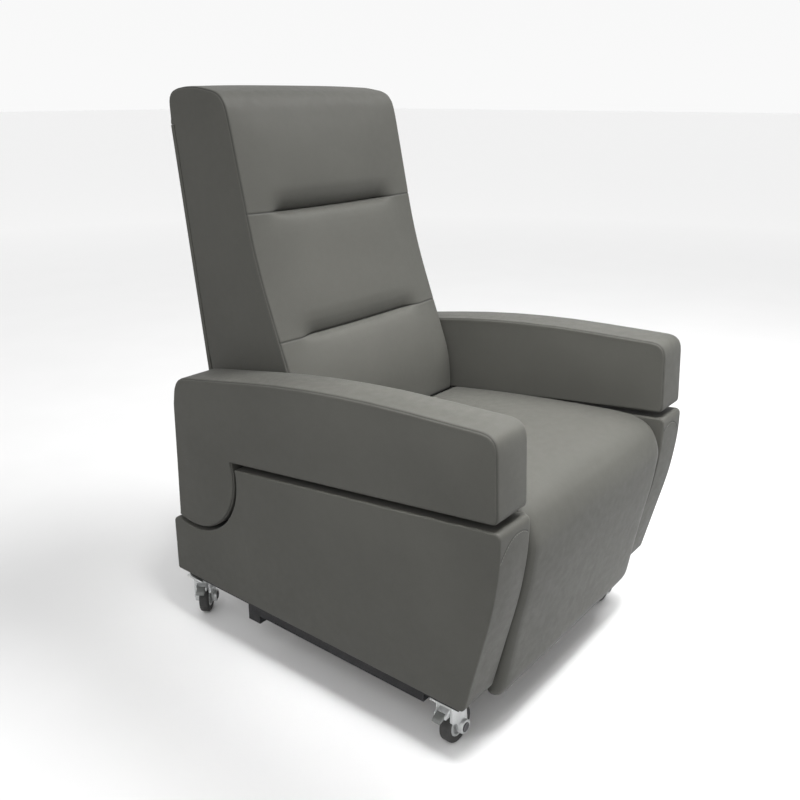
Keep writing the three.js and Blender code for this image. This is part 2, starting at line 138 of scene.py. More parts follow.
def add_floor():
    half = 60.0
    corners = [(-half, -half, 0), (half, -half, 0), (half, half, 0), (-half, half, 0)]
    floor = new_object("floor", corners, [(0, 1, 2, 3)])
    floor.location.z = -0.2 * MM
    floor.data.materials.append(floor_material())


# ---- materials ---------------------------------------------------------------------------------

class Shader:
    """A Principled material, built node by node."""

    def __init__(self, name):
        self.material = bpy.data.materials.new(name)
        self.material.use_nodes = True
        self.tree = self.material.node_tree
        self.principled = self.tree.nodes["Principled BSDF"]
        self.place = self.tree.nodes.new("ShaderNodeTexCoord").outputs["Object"]

    def set(self, **values):
        for name, value in values.items():
            self.principled.inputs[name.replace("_", " ")].default_value = value

    def add(self, kind, inputs=(), **settings):
        node = self.tree.nodes.new(kind)
        for name, value in settings.items():
            setattr(node, name, value)
        for name, value in dict(inputs).items():
            if isinstance(value, bpy.types.NodeSocket):
                self.tree.links.new(value, node.inputs[name])
            else:
                node.inputs[name].default_value = value
        return node

    def noise(self, scale, detail=3.0, roughness=0.5, stretch=(1, 1, 1)):
        mapping = self.add("ShaderNodeMapping", {"Vector": self.place, "Scale": stretch})
        inputs = {"Vector": mapping.outputs[0], "Scale": scale, "Detail": detail, "Roughness": roughness}
        return self.add("ShaderNodeTexNoise", inputs).outputs["Fac"]

    def cells(self, scale):
        inputs = {"Vector": self.place, "Scale": scale}
        return self.add("ShaderNodeTexVoronoi", inputs).outputs["Distance"]

    def ramp(self, value, low, high, start=0.3, end=0.7):
        node = self.add("ShaderNodeValToRGB", {"Fac": value})
        stops = node.color_ramp.elements
        stops[0].position, stops[1].position = start, end
        stops[0].color = (*low, 1)
        stops[1].color = (*high, 1)
        return node.outputs["Color"]

    def spread(self, value, low, high, start=0.3, end=0.7):
        inputs = {"Value": value, "From Min": start, "From Max": end, "To Min": low, "To Max": high}
        return self.add("ShaderNodeMapRange", inputs).outputs["Result"]

    def mix(self, factor, first, second, blend="MIX"):
        node = self.add("ShaderNodeMix", data_type="RGBA", blend_type=blend)
        for socket, value in ((node.inputs[0], factor), (node.inputs[6], first), (node.inputs[7], second)):
            if isinstance(value, bpy.types.NodeSocket):
                self.tree.links.new(value, socket)
            else:
                socket.default_value = value if isinstance(value, float) else (*value, 1)
        return node.outputs[2]

    def total(self, *values):
        result = values[0]
        for value in values[1:]:
            node = self.add("ShaderNodeMath", operation="ADD")
            self.tree.links.new(result, node.inputs[0])
            self.tree.links.new(value, node.inputs[1])
            result = node.outputs[0]
        return result

    def times(self, value, factor):
        node = self.add("ShaderNodeMath", operation="MULTIPLY")
        self.tree.links.new(value, node.inputs[0])
        node.inputs[1].default_value = factor
        return node.outputs[0]

    def link(self, name, socket):
        self.tree.links.new(socket, self.principled.inputs[name])

    def bump(self, height, strength, distance):
        node = self.add("ShaderNodeBump", {"Height": height, "Strength": strength, "Distance": distance})
        self.link("Normal", node.outputs["Normal"])


VINYL = (0.060, 0.0595, 0.053)


def shade(color, factor):
    return tuple(channel * factor for channel in color)


def vinyl_material():
    """Matte coated upholstery: pebbled grain about a millimetre across, faint mottling, and painted shade in the
    grooves between the pebbles.
    """
    s = Shader("vinyl")
    cloud = s.ramp(s.noise(5, 4), shade(VINYL, 0.93), shade(VINYL, 1.06))
    pebble = s.cells(820)
    # Painted shade: the grooves between the pebbles, which the bump below sinks, are made darker.
    groove_shade = s.ramp(pebble, (1, 1, 1), (0.86, 0.86, 0.86), 0.35, 0.75)
    s.link("Base Color", s.mix(0.55, cloud, groove_shade, "MULTIPLY"))
    s.link("Roughness", s.spread(s.noise(60, 2), 0.56, 0.66))
    height = s.total(s.times(pebble, -1.0), s.times(s.noise(2600, 2), 0.35))
    s.bump(height, 0.32, 0.25 * MM)
    s.set(Specular_IOR_Level=0.15, Sheen_Weight=0.05, Sheen_Roughness=0.4)
    return s.material


# Painted seam shade: darker vinyl laid on the faces where the cover sinks at seams and creases.
def seam_material():
    s = Shader("seam_shadow")
    s.link("Base Color", s.ramp(s.noise(900, 2), shade(VINYL, 0.35), shade(VINYL, 0.5)))
    s.set(Roughness=0.85)
    return s.material


def thread_material():
    s = Shader("thread")
    s.link("Base Color", s.ramp(s.noise(2500, 2), shade(VINYL, 1.3), shade(VINYL, 2.0)))
    s.set(Roughness=0.6, Sheen_Weight=0.3)
    return s.material


def powder_coat_material():
    s = Shader("powder_coat")
    s.link("Base Color", s.ramp(s.noise(40, 3), (0.008, 0.008, 0.009), (0.016, 0.016, 0.017)))
    s.link("Roughness", s.spread(s.noise(300, 2), 0.50, 0.66))
    s.bump(s.noise(1500, 2), 0.25, 0.12 * MM)
    s.set(Specular_IOR_Level=0.2)
    return s.material


def zinc_material():
    s = Shader("zinc_plate")
    s.link("Base Color", s.ramp(s.noise(90, 5, 0.6), (0.46, 0.47, 0.46), (0.62, 0.63, 0.62)))
    s.link("Roughness", s.spread(s.noise(160, 4), 0.28, 0.48))
    s.bump(s.noise(900, 3), 0.12, 0.08 * MM)
    s.set(Metallic=0.95)
    return s.material


def silver_paint_material():
    s = Shader("silver_paint")
    flake = s.cells(3200)
    s.link("Base Color", s.ramp(flake, (0.40, 0.41, 0.41), (0.50, 0.51, 0.51), 0.2, 0.8))
    s.link("Roughness", s.spread(s.noise(200, 3), 0.34, 0.48))
    s.bump(s.noise(700, 2), 0.15, 0.1 * MM)
    s.set(Metallic=0.55)
    return s.material


def ground_steel_material():
    s = Shader("ground_steel")
    s.link("Base Color", s.ramp(s.noise(300, 4), (0.66, 0.67, 0.68), (0.78, 0.79, 0.80)))
    s.link("Roughness", s.spread(s.noise(500, 3), 0.10, 0.22))
    s.bump(s.noise(2200, 2), 0.05, 0.05 * MM)
    s.set(Metallic=1.0)
    return s.material


def plywood_material():
    s = Shader("plywood")
    grain = s.noise(90, 6, 0.6, (0.12, 1, 1))
    s.link("Base Color", s.ramp(grain, (0.36, 0.22, 0.11), (0.62, 0.44, 0.26)))
    s.link("Roughness", s.spread(grain, 0.60, 0.78))
    s.bump(grain, 0.2, 0.2 * MM)
    return s.material


def rubber_material():
    s = Shader("tyre_rubber")
    dust = s.noise(120, 5, 0.65)
    s.link("Base Color", s.ramp(dust, (0.016, 0.016, 0.016), (0.05, 0.049, 0.047), 0.35, 0.8))
    s.link("Roughness", s.spread(dust, 0.70, 0.88))
    s.bump(s.noise(1300, 3), 0.3, 0.12 * MM)
    return s.material


def plastic_material(name, color):
    s = Shader(name)
    s.link("Base Color", s.ramp(s.noise(70, 4), shade(color, 0.9), shade(color, 1.08)))
    s.link("Roughness", s.spread(s.noise(400, 2), 0.40, 0.52))
    s.bump(s.noise(1800, 2), 0.15, 0.06 * MM)
    return s.material


def floor_material():
    """Pale grey under the chair, painted lighter farther out up to white, as painted light that blends the floor
    into the white world.
    """
    s = Shader("studio_floor")
    distance = s.add("ShaderNodeVectorMath", {0: s.place}, operation="LENGTH").outputs["Value"]
    pale = s.ramp(s.noise(3, 3), (0.735, 0.735, 0.735), (0.755, 0.755, 0.755))
    # Painted light: the floor's colour rises to white with distance, where the lamps' light falls off.
    painted_far_light = s.spread(distance, 0.0, 1.0, 1.5, 7.0)
    s.link("Base Color", s.mix(painted_far_light, pale, (1.0, 1.0, 1.0)))
    s.set(Roughness=0.7)
    return s.material


MATERIALS = {
    "vinyl": vinyl_material(),
    "seam": seam_material(),
    "thread": thread_material(),
    "dark_steel": powder_coat_material(),
    "zinc_steel": zinc_material(),
    "bright_steel": ground_steel_material(),
    "silver_paint": silver_paint_material(),
    "plywood": plywood_material(),
    "tyre": rubber_material(),
    "hub_plastic": plastic_material("hub_plastic", (0.34, 0.35, 0.35)),
    "pedal_plastic": plastic_material("pedal_plastic", (0.13, 0.135, 0.13)),
    "cap_plastic": plastic_material("cap_plastic", (0.035, 0.035, 0.037)),
}


# ---- mesh helpers ------------------------------------------------------------------------------

def new_object(name, points, faces):
    mesh = bpy.data.meshes.new(name)
    mesh.from_pydata([tuple(point) for point in points], [], faces)
    mesh.update()
    obj = bpy.data.objects.new(name, mesh)
    scene.collection.objects.link(obj)
    return obj


def mesh_points(obj):
    points = np.empty(len(obj.data.vertices) * 3)
    obj.data.vertices.foreach_get("co", points)
    return points.reshape(-1, 3)


def set_points(obj, points):
    obj.data.vertices.foreach_set("co", np.asarray(points, float).ravel())
    obj.data.update()


def point_normals(obj):
    normals = np.empty(len(obj.data.vertices) * 3)
    obj.data.vertices.foreach_get("normal", normals)
    return normals.reshape(-1, 3)


def apply_modifiers(obj):
    depsgraph = bpy.context.evaluated_depsgraph_get()
    mesh = bpy.data.meshes.new_from_object(obj.evaluated_get(depsgraph))
    obj.modifiers.clear()
    obj.data = mesh


def shade_smooth(obj, angle=None):
    obj.data.polygons.foreach_set("use_smooth", [True] * len(obj.data.polygons))
    if angle is not None:
        obj.data.set_sharp_from_angle(angle=math.radians(angle))


def welded_copy(name, *nodes):
    """One object holding the CAD solids of these nodes, with their split vertices joined."""
    solid = bmesh.new()
    for node in nodes:
        solid.from_mesh(NODES[node].data)
    bmesh.ops.remove_doubles(solid, verts=solid.verts, dist=1e-6)
    mesh = bpy.data.meshes.new(name)
    solid.to_mesh(mesh)
    solid.free()
    obj = bpy.data.objects.new(name, mesh)
    scene.collection.objects.link(obj)
    return obj


def face_outward(obj):
    solid = bmesh.new()
    solid.from_mesh(obj.data)
    bmesh.ops.recalc_face_normals(solid, faces=solid.faces)
    solid.to_mesh(obj.data)
    solid.free()


def finish_piece(obj, body, slot, *nodes, fill=None):
    if nodes:
        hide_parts(*nodes)
    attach(obj, body)


# ---- foam: a simulated swelling of each soft solid ----------------------------------------------

class Foam:
    """How far the cover of a soft solid swells, found by inflating a cloth held at its seams."""

    def __init__(self, name, solid, seam_distance, cap, voxel=7 * MM):
        solid.name = name
        remesh = solid.modifiers.new("remesh", "REMESH")
        remesh.mode = "VOXEL"
        remesh.voxel_size = voxel
        apply_modifiers(solid)
        even_out(solid, 3)
        self.start = mesh_points(solid)
        away = seam_distance(self.start)
        self.swell = self.inflated(solid, away, cap)
        self.tree = KDTree(len(self.start))
        for number, place in enumerate(self.start):
            self.tree.insert(place, number)
        self.tree.balance()
        self.solid = solid

    def inflated(self, solid, away, cap, pressure=4.0, frames=20):
        held = solid.vertex_groups.new(name="seams")
        hold = 1 - smoothstep(away, 0.004, 0.016)
        for number in np.nonzero(hold > 0.01)[0]:
            held.add([int(number)], float(hold[number]), "REPLACE")
        cloth = solid.modifiers.new("cloth", "CLOTH")
        cloth.settings.vertex_group_mass = held.name
        cloth.settings.use_pressure = True
        cloth.settings.uniform_pressure_force = pressure
        cloth.settings.effector_weights.gravity = 0
        cloth.settings.quality = 4
        cloth.point_cache.frame_start = 1
        cloth.point_cache.frame_end = frames
        for number in range(1, frames + 1):
            scene.frame_set(number)
        apply_modifiers(solid)
        moved = mesh_points(solid) - self.start
        length = np.linalg.norm(moved, axis=1, keepdims=True) + 1e-9
        capped = moved / length * cap * np.tanh(length / cap)
        scene.frame_set(1)
        return relaxed(solid, capped, 12)

    def at(self, points):
        """The swelling at each of these points, blended from the nearest places on the foam."""
        result = np.zeros_like(points)
        for number, point in enumerate(points):
            near = self.tree.find_n(point, 5)
            weights = np.array([1 / (distance + 1 * MM) for _, _, distance in near])
            values = self.swell[[index for _, index, _ in near]]
            result[number] = weights @ values / weights.sum()
        return result

    def discard(self):
        bpy.data.objects.remove(self.solid, do_unlink=True)


def relaxed(obj, values, rounds):
    """Values on an object's vertices, averaged again and again with their neighbours."""
    edges = np.empty(len(obj.data.edges) * 2, dtype=np.int64)
    obj.data.edges.foreach_get("vertices", edges)
    a, b = edges.reshape(-1, 2).T
    count = np.bincount(a, minlength=len(values)) + np.bincount(b, minlength=len(values))
    for _ in range(rounds):
        total = np.zeros_like(values)
        np.add.at(total, a, values[b])
        np.add.at(total, b, values[a])
        values = 0.4 * values + 0.6 * total / np.maximum(count, 1)[:, None]
    return values


def even_out(obj, rounds):
    smooth = obj.modifiers.new("smooth", "SMOOTH")
    smooth.factor = 0.5
    smooth.iterations = rounds
    apply_modifiers(obj)


# ---- outlines in the side view ------------------------------------------------------------------

def section(mesh, x):
    """The largest closed (y, z) outline, counter-clockwise, of a mesh cut at that x."""
    solid = bmesh.new()
    solid.from_mesh(mesh)
    bmesh.ops.remove_doubles(solid, verts=solid.verts, dist=1e-6)
    everything = solid.verts[:] + solid.edges[:] + solid.faces[:]
    bmesh.ops.bisect_plane(solid, geom=everything, plane_co=(x, 0, 0), plane_no=(1, 0, 0),
                           clear_inner=True, clear_outer=True)
    bmesh.ops.remove_doubles(solid, verts=solid.verts, dist=1e-5)
    loops = []
    left = dict.fromkeys(solid.verts)
    while left:
        vert = next(iter(left))
        del left[vert]
        loop = [vert]
        while True:
            following = [e.other_vert(vert) for e in vert.link_edges if e.other_vert(vert) in left]
            if not following:
                break
            vert = following[0]
            del left[vert]
            loop.append(vert)
        loops.append(np.array([(v.co.y, v.co.z) for v in loop]))
    solid.free()
    outline = max(loops, key=lambda points: abs(signed_area(points)))
    return outline if signed_area(outline) > 0 else outline[::-1]


def signed_area(points):
    following = np.roll(points, -1, axis=0)
    return 0.5 * np.sum(points[:, 0] * following[:, 1] - following[:, 0] * points[:, 1])


def resample(outline, step):
    """Points along a closed outline. step gives the spacing wanted at a (y, z) point."""
    closed = np.vstack([outline, outline[:1]])
    lengths = np.concatenate([[0], np.cumsum(np.linalg.norm(np.diff(closed, axis=0), axis=1))])
    fine = np.linspace(0, lengths[-1], int(lengths[-1] / (0.5 * MM)))
    places = np.stack([np.interp(fine, lengths, closed[:, k]) for k in (0, 1)], axis=1)
    density = np.array([1 / step(place) for place in places])
    count = np.concatenate([[0], np.cumsum(0.5 * (density[1:] + density[:-1]) * np.diff(fine))])
    total = int(round(count[-1]))
    wanted = np.arange(total) * count[-1] / total
    at = np.interp(wanted, count, fine)
    return np.stack([np.interp(at, lengths, closed[:, k]) for k in (0, 1)], axis=1)


def rounded(outline, rounds):
    """The outline with its corners eased."""
    for _ in range(rounds):
        outline = 0.5 * outline + 0.25 * (np.roll(outline, 1, axis=0) + np.roll(outline, -1, axis=0))
    return outline


def outward(outline, reach=2):
    """Outward unit normals, taken over a few points on either side."""
    along = np.roll(outline, -reach, axis=0) - np.roll(outline, reach, axis=0)
    along /= np.linalg.norm(along, axis=1, keepdims=True)
    return np.stack([along[:, 1], -along[:, 0]], axis=1)


def inside_outline(outline, points):
    y, z = points[:, 0][:, None], points[:, 1][:, None]
    y0, z0 = outline[:, 0], outline[:, 1]
    y1, z1 = np.roll(y0, -1), np.roll(z0, -1)
    spans = (z0 > z) != (z1 > z)
    rise = np.where(z1 == z0, 1e-12, z1 - z0)
    crossing = y < (y1 - y0) * (z - z0) / rise + y0
    return (spans & crossing).sum(axis=1) % 2 == 1


def distance_to_outline(outline, points):
    start = outline
    span = np.roll(outline, -1, axis=0) - start
    best = np.full(len(points), 1e9)
    for a, d in zip(start, span):
        t = np.clip((points - a) @ d / max(d @ d, 1e-15), 0, 1)
        best = np.minimum(best, np.linalg.norm(points - a - t[:, None] * d, axis=1))
    return best


def fill_inside(ring, spacing):
    """Extra points and triangles that fill a ring evenly. Triangles index ring, then extras."""
    low, high = ring.min(axis=0), ring.max(axis=0)
    row = spacing * math.sqrt(3) / 2
    rows, columns = int((high[1] - low[1]) / row) + 1, int((high[0] - low[0]) / spacing) + 1
    grid = np.array([(low[0] + (0.5 * (j % 2) + i) * spacing, low[1] + j * row)
                     for j in range(rows) for i in range(columns)])
    grid = grid[inside_outline(ring, grid)]
    grid = grid[distance_to_outline(ring, grid) > 0.6 * spacing]
    points = [Vector(p) for p in np.vstack([ring, grid])]
    edges = [(i, (i + 1) % len(ring)) for i in range(len(ring))]
    result = delaunay_2d_cdt(points, edges, [], 1, 1e-9)
    extras = list(grid)
    numbers = []
    for place, originals in zip(result[0], result[3]):
        if originals:
            numbers.append(originals[0])
        else:
            numbers.append(len(ring) + len(extras))
            extras.append(np.array(place))
    return extras, [tuple(numbers[i] for i in face) for face in result[2]]


# ---- sewn covers --------------------------------------------------------------------------------

SEAM_RINGS = (0.0, 0.9 * MM, 2.2 * MM, 4.2 * MM, 7 * MM, 10 * MM)     # distances from a seam
SEAM_SINK = (1.5 * MM, 0.8 * MM, 0.15 * MM, 0.0, 0.0, 0.0)
COVER_INSET = 0.8 * MM          # the seams lie this far inside the solid
FOLDED_EDGE = 2 * MM            # an edge rounded less than this is folded, without a seam


def corner_profile(distance, radius):
    """Across and inward places of a point this far along the cover from a seam on a rounded edge.

    Positive distances lie on the band between the side faces, negative ones on a side face.
    """
    quarter = radius * math.pi / 4
    if abs(distance) <= quarter:
        angle = math.pi / 4 + distance / radius
        return radius * (1 - math.cos(angle)), radius * (1 - math.sin(angle))
    if distance > 0:
        return radius + distance - quarter, 0.0
    return 0.0, radius - distance - quarter


class SewnCover:
    """A boxed cover: two side faces and a band round them, joined by seams on rounded edges.

    radius gives the rounding of the edges at a (y, z) point of the outline.
    """

    def __init__(self, outline, x0, x1, radius, band_step, face_step):
        self.outline = outline
        self.normals = outward(outline)
        self.x0, self.x1 = x0 + COVER_INSET, x1 - COVER_INSET
        self.radii = np.array([radius(place) for place in outline])
        self.points, self.sink, self.faces = [], [], []
        self.add_band(band_step)
        self.add_side(self.x0, 0, face_step, flip=True)
        self.add_side(self.x1, self.columns - 1, face_step, flip=False)

    def add_band(self, step):
        edge = corner_profile(SEAM_RINGS[-1], max(self.radii))[0]
        width = self.x1 - self.x0 - 2 * edge
        count = max(2, int(round(width / step)))
        middle = [self.x0 + edge + width * k / count for k in range(1, count)]
        for row, normal, radius in zip(self.outline, self.normals, self.radii):
            sinks = SEAM_SINK if radius > FOLDED_EDGE else [0.0] * len(SEAM_SINK)
            near = [(*corner_profile(d, radius), sink) for d, sink in zip(SEAM_RINGS, sinks)]
            places = [(self.x0 + across, inward, sink) for across, inward, sink in near]
            places += [(x, 0.0, 0.0) for x in middle]
            places += [(self.x1 - across, inward, sink) for across, inward, sink in reversed(near)]
            for x, inward, sink in places:
                y, z = row - normal * (inward + COVER_INSET)
                self.points.append((x, y, z))
                self.sink.append(sink)
        rows, columns = len(self.outline), len(middle) + 2 * len(SEAM_RINGS)
        self.columns = columns
        for i in range(rows):
            j = (i + 1) % rows
            for k in range(columns - 1):
                self.faces.append((i * columns + k, j * columns + k,
                                   j * columns + k + 1, i * columns + k + 1))

    def add_side(self, x, column, face_step, flip):
        rows = len(self.outline)
        inner = 1 if flip else -1
        previous = [i * self.columns + column for i in range(rows)]
        for distance, sink in list(zip(SEAM_RINGS, SEAM_SINK))[1:]:
            profile = [corner_profile(-distance, radius) for radius in self.radii]
            across, inward = np.array(profile).T
            ring = self.outline - self.normals * (inward + COVER_INSET)[:, None]
            current = list(range(len(self.points), len(self.points) + rows))
            self.points += [(x + inner * shift, y, z) for shift, (y, z) in zip(across, ring)]
            self.sink += list(np.where(self.radii > FOLDED_EDGE, sink, 0.0))
            for i in range(rows):
                j = (i + 1) % rows
                face = (previous[i], previous[j], current[j], current[i])
                self.faces.append(face[::-1] if flip else face)
            previous = current
        extras, triangles = fill_inside(ring, face_step)
        numbers = previous + list(range(len(self.points), len(self.points) + len(extras)))
        self.points += [(x, y, z) for y, z in extras]
        self.sink += [0.0] * len(extras)
        for triangle in triangles:
            face = tuple(numbers[i] for i in triangle)
            self.faces.append(face[::-1] if flip else face)

    def seam_distance(self, points):
        """How far each point is from the nearer seam."""
        flat = distance_to_outline(self.outline, points[:, 1:])
        across = np.minimum(np.abs(points[:, 0] - self.x0), np.abs(points[:, 0] - self.x1))
        return np.hypot(flat, across)

    def sewn(self, name, foam, give, seams=True):
        """The cover as an object over the swollen foam. give scales the swelling at each point."""
        obj = new_object(name, self.points, self.faces)
        obj.data.materials.append(MATERIALS["vinyl"])
        obj.data.materials.append(MATERIALS["seam"])
        sink = np.array(self.sink)
        points, normals = mesh_points(obj), point_normals(obj)
        swell = foam.at(points) * give(points, normals)[:, None]
        set_points(obj, points + swell)
        if seams:
            set_points(obj, mesh_points(obj) - point_normals(obj) * sink[:, None])
            # Faces along each seam get the painted seam shade.
            for polygon in obj.data.polygons:
                if max(sink[i] for i in polygon.vertices) >= SEAM_SINK[0]:
                    polygon.material_index = 1
        shade_smooth(obj)
        return obj


def mirrored(obj, name):
    """A copy of obj on the other side of the chair."""
    copy = obj.copy()
    copy.data = obj.data.copy()
    copy.name = name
    copy.data.name = name
    scene.collection.objects.link(copy)
    copy.data.transform(Matrix.Scale(-1, 4, (1, 0, 0)))
    copy.data.flip_normals()
    return copy


def smoothstep(value, low, high):
    t = np.clip((value - low) / (high - low), 0, 1)
    return t * t * (3 - 2 * t)


# ---- arms and side panels ------------------------------------------------------------------------

def boxed_pair(kind, cap, give, radius, body, seams):
    """The sewn covers of a left node and its mirror image on the right."""
    left = f"{kind}_left"
    low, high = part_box(left)
    outline = resample(section(NODES[left].data, 0.5 * (low[0] + high[0])), lambda place: 6 * MM)
    cover = SewnCover(outline, low[0], high[0], lambda place: radius, 9 * MM, 11 * MM)
    foam = Foam(f"{kind}_foam", welded_copy(f"{kind}_foam", left), cover.seam_distance, cap)
    piece = cover.sewn(f"{kind}_cover_left", foam, give, seams)
    foam.discard()
    other = mirrored(piece, f"{kind}_cover_right")
    for obj, side in ((piece, "left"), (other, "right")):
        finish_piece(obj, body.format(side), "vinyl", f"{kind}_{side}", fill=0.9)
    return {"left": piece, "right": other}


def arm_give(points, normals):
    """An arm keeps clear of the side panel below it."""
    below = np.maximum(smoothstep(-normals[:, 2], 0.1, 0.5), 1 - smoothstep(points[:, 2], 0.50, 0.56))
    facing = 1 - smoothstep(np.abs(normals[:, 0]), 0.6, 0.9)
    return 1 - 0.8 * below * facing


def panel_give(points, normals):
    """A side panel keeps clear of the arm above it and of the legrest beside it."""
    facing = 1 - smoothstep(np.abs(normals[:, 0]), 0.6, 0.9)
    front = smoothstep(-normals[:, 1], 0.5, 0.9)
    inner = smoothstep(-normals[:, 0], 0.6, 0.9)
    return (1 - 0.8 * facing * (1 - front)) * (1 - 0.6 * inner)


# ---- topstitching --------------------------------------------------------------------------------

STITCH, STITCH_GAP, THREAD_RADIUS = 4.2 * MM, 1.6 * MM, 0.45 * MM
THREAD_SIDES, CORD_SIDES = 6, 8

# Along one stitch, in stitch lengths, then its thickness and its height above the cover in thread radii.
STITCH_RINGS = ((-0.5, 0.45, -0.3), (-0.3, 0.9, 0.2), (0.0, 1.0, 0.45), (0.3, 0.9, 0.2), (0.5, 0.45, -0.3))


def laid_on(piece, places, direction):
    """Points and normals where lines in a direction from these places first meet a piece."""
    mesh = piece.data
    tree = BVHTree.FromPolygons([v.co for v in mesh.vertices], [p.vertices for p in mesh.polygons])
    hits = [tree.ray_cast(place, direction)[:2] for place in places]
    return [(point, normal) for point, normal in hits if point is not None]


def evenly_spaced(route, step):
    """Points and normals every step along a route of (point, normal) pairs."""
    points = np.array([point for point, _ in route])
    normals = np.array([normal for _, normal in route])
    lengths = np.concatenate([[0], np.cumsum(np.linalg.norm(np.diff(points, axis=0), axis=1))])
    wanted = np.arange(0, lengths[-1], step)
    places = [np.interp(wanted, lengths, points[:, k]) for k in range(3)]
    turned = [np.interp(wanted, lengths, normals[:, k]) for k in range(3)]
    return [(Vector(p), Vector(n).normalized()) for p, n in zip(np.transpose(places), np.transpose(turned))]


def ring_round(place, across, up, sides):
    """Points of an ellipse with these two half axes."""
    angles = [2 * math.pi * k / sides for k in range(sides)]
    return [place + across * math.cos(angle) + up * math.sin(angle) for angle in angles]


def rod_faces(first, rings, sides):
    """Faces of a closed rod whose rings of points follow each other from this number."""
    faces = []
    for start in range(first, first + (rings - 1) * sides, sides):
        for k in range(sides):
            beside = (k + 1) % sides
            faces.append((start + k, start + beside, start + sides + beside, start + sides + k))
    last = first + (rings - 1) * sides
    return faces + [tuple(range(first, first + sides))[::-1], tuple(range(last, last + sides))]


def sewn_row(name, points, faces, material):
    obj = new_object(name, points, faces)
    shade_smooth(obj)
    obj.data.materials.append(MATERIALS[material])
    return obj


def stitches(name, route):
    """A row of separate stitches, each a thread that dips into the cover at both ends."""
    samples = evenly_spaced(route, STITCH + STITCH_GAP)
    points, faces = [], []
    for (place, normal), (following, _) in zip(samples, samples[1:]):
        along = (following - place).normalized()
        across = along.cross(normal).normalized()
        faces += rod_faces(len(points), len(STITCH_RINGS), THREAD_SIDES)
        for shift, thick, lift in STITCH_RINGS:
            middle = place + along * (shift * STITCH) + normal * (lift * THREAD_RADIUS)
            reach = thick * THREAD_RADIUS
            points += ring_round(middle, across * reach, normal * reach, THREAD_SIDES)
    return sewn_row(name, points, faces, "thread")


def seam_cord(name, route, radius=0.8 * MM):
    """The thin rolled edge of a seam, half sunk in the cover, coloured with the painted seam shade."""
    samples = evenly_spaced(route, 3 * MM)
    points = []
    for number, (place, normal) in enumerate(samples):
        before, after = samples[max(number - 1, 0)][0], samples[min(number + 1, len(samples) - 1)][0]
        across = (after - before).cross(normal).normalized()
        points += ring_round(place, across * radius, normal * (0.5 * radius), CORD_SIDES)
    return sewn_row(name, points, rod_faces(0, len(samples), CORD_SIDES), "seam")


ARCH_TOP, ARCH_DROP = 16 * MM, 42 * MM         # below the panel's top, at the crest and on its outer edge
ARCH_CREST = 0.6                               # share of the panel's width, from its outer edge
ARCH_START, ARCH_END = 0.06, 0.94              # shares of the panel's width
ARCH_POWER = 2.2                               # how square the arch's shoulders are
ARCH_POINTS = 41


def arched_seam(side, panel):
    """The stitched arch across the front of a side panel, close under its top."""
    low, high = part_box(f"side_panel_{side}")
    outer, inner = (high[0], low[0]) if side == "left" else (low[0], high[0])
    for kind, shift in ((seam_cord, 0.0), (stitches, -3.2 * MM)):
        places = []
        for share in np.linspace(ARCH_START, ARCH_END, ARCH_POINTS):
            drop = ARCH_TOP + ARCH_DROP * abs((share - ARCH_CREST) / ARCH_CREST) ** ARCH_POWER
            places.append(Vector((outer + (inner - outer) * share, low[1] - 0.1, high[2] - drop + shift)))
        route = laid_on(panel, places, Vector((0, 1, 0)))
        row = kind(f"panel_{kind.__name__}_{side}", route)
        finish_piece(row, "base", "vinyl")


# ---- back ----------------------------------------------------------------------------------------

CREASE_HEIGHTS = (0.680, 0.932)        # of the two sewn channels at the front face
CREASE_DEPTHS = (0.019, 0.028)
CREASE_SAG = 4 * MM
TUFT_SHARE = 0.69                      # of the half width, where a deep crease ends
ROLL_ABOVE = 0.052                     # how far the panel above rolls into the crease
ROLL_BELOW = 0.006
REAR_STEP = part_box("back_rear_cover")[1][2]      # height of the top of the rear cover, which is let in


def drawn_in(points, half_width, front):
    """How far each point of the back's front face is drawn in by the sewn channels."""
    x, _, z = points.T
    share = np.abs(x) / half_width
    result = np.zeros(len(points))
    for height, depth in zip(CREASE_HEIGHTS, CREASE_DEPTHS):
        t = z - height
        deep = depth * (1 - smoothstep(share, TUFT_SHARE - 0.13, TUFT_SHARE + 0.09))
        s = np.clip(1 - t / ROLL_ABOVE, 0, 1)
        above = 0.55 * (1 - np.sqrt(1 - s**2)) + 0.45 * s**2.4
        below = np.exp(np.clip(t, -1, 0) / ROLL_BELOW)
        stitched = np.exp(-(t / (1.7 * MM)) ** 2)
        result += deep * np.where(t >= 0, above, below) + 1.4 * MM * stitched
    return result * front


def crease_sag(points, half_width, front):
    """The channels hang a little in the middle."""
    bow = 1 - (points[:, 0] / half_width) ** 2
    near = sum(np.exp(-((points[:, 2] - height) / (30 * MM)) ** 2) for height in CREASE_HEIGHTS)
    return CREASE_SAG * bow * near * front


def back_step(place):
    """Outline spacing: fine at the creases and at the let-in, coarser elsewhere."""
    away = min(abs(place[1] - height) for height in CREASE_HEIGHTS)
    if place[0] > 0.33:
        return 2 * MM if abs(place[1] - REAR_STEP) < 12 * MM else 9 * MM
    if away < 0.010:
        return 1.3 * MM
    if away < 0.05:
        return 3.5 * MM
    return 8 * MM


def back_rounding(place):
    """Rounded edges in front and on top, tight ones where the rear cover meets the sides."""
    open_edge = max(1 - smoothstep(place[0], 0.34, 0.38), smoothstep(place[1], REAR_STEP, REAR_STEP + 0.05))
    return 1.5 * MM + open_edge * 5.5 * MM


def back_give(points, normals):
    """The back swells forward, little at its sides, and not where it meets the seat or its frame."""
    front = smoothstep(-normals[:, 1], 0.2, 0.7)
    top = smoothstep(normals[:, 2], 0.4, 0.8)
    side = smoothstep(np.abs(normals[:, 0]), 0.6, 0.9)
    clear_of_seat = smoothstep(points[:, 2], 0.50, 0.60)
    return np.maximum(np.maximum(front, 0.85 * top) * clear_of_seat, 0.25 * side)


